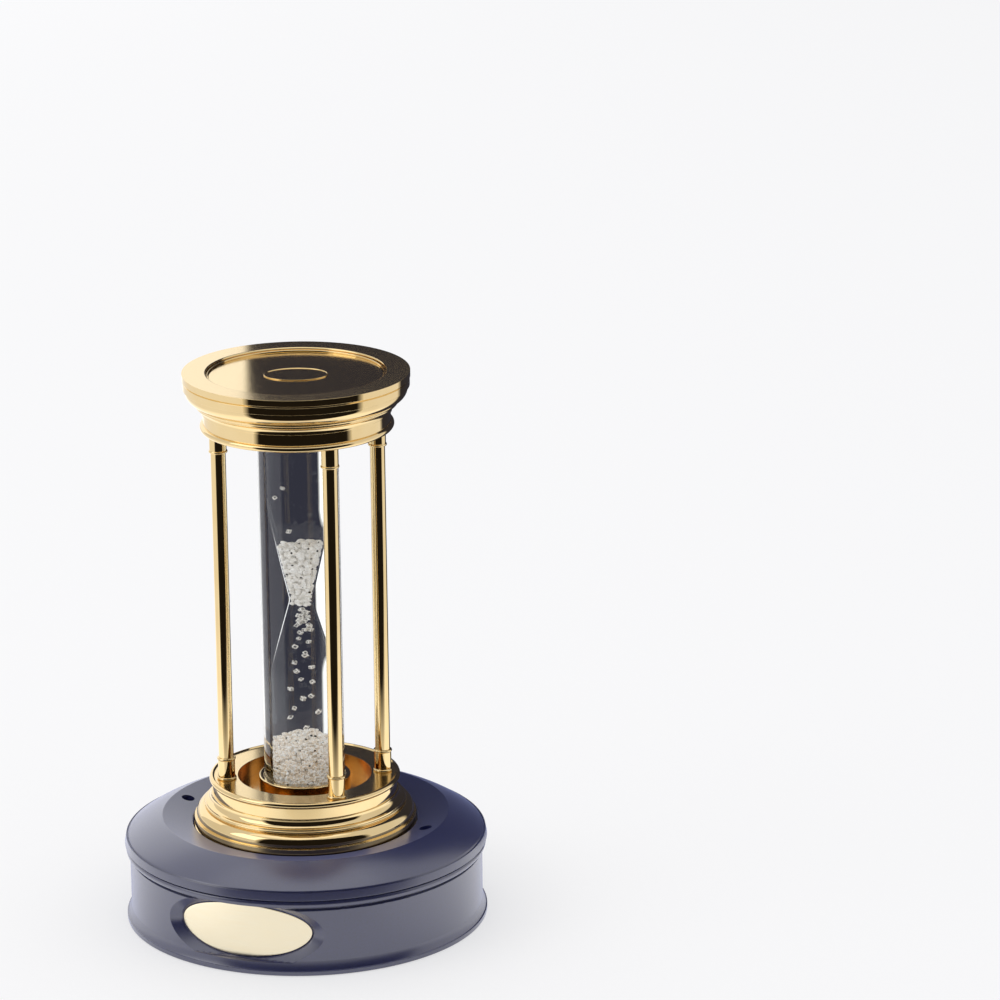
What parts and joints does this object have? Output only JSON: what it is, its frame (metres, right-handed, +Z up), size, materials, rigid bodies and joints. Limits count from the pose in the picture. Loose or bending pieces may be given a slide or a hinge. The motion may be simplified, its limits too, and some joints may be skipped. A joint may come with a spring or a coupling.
{
  "type": "hourglass",
  "caption": "Free-standing hourglass: turned plated caps and posts hold a thick glass vial of crystals, lifted by hand off a round lacquered base with an oval plaque.",
  "frame": {"origin": "centre of the base's felt underside, on the surface that it stands on", "axes": "+Z up along the axis that the base and the hourglass share; the front with the plaque faces -Y, the plaque a little towards -X"},
  "size_m": [0.1224, 0.1224, 0.1893],
  "materials": {
    "gold_polished": "gold-plated brass, turned and polished",
    "gold_brushed": "gold-plated brass, fine brushed",
    "gold_satin": "gold-plated brass, satin",
    "navy_lacquer": "turned wood in satin navy lacquer",
    "steel": "blackened screws",
    "felt": "navy felt",
    "foam_tape": "thin adhesive pad",
    "glass": "clear, thick-walled",
    "silicone": "translucent silicone",
    "crystal": "small rough white crystals"
  },
  "bodies": {
    "base": {"base_drum": "navy_lacquer", "base_lid": "navy_lacquer", "lid_screws": "steel", "base_felt": "felt", "seat_felt": "felt", "plaque": "gold_satin", "plaque_adhesive": "foam_tape"},
    "hourglass": {"bottom_cap": "gold_polished", "bottom_cover_plate": "gold_brushed", "bottom_glass_collar": "gold_polished", "bottom_glass_cushion": "silicone", "bottom_post_screws": "steel", "falling_crystals": "crystal", "fill_stopper": "silicone", "glass_vial": "glass", "lower_crystal_heap": "crystal", "post_front": "gold_polished", "post_left": "gold_polished", "post_right": "gold_polished", "top_cap": "gold_polished", "top_cover_plate": "gold_brushed", "top_glass_collar": "gold_polished", "top_glass_cushion": "silicone", "top_post_screws": "steel", "upper_crystal_heap": "crystal"}
  },
  "joints": [
    {"name": "hourglass_lift", "type": "slide", "parent": "base", "child": "hourglass", "axis": [0, 0, 1], "range_m": [0, 0.06]}
  ]
}
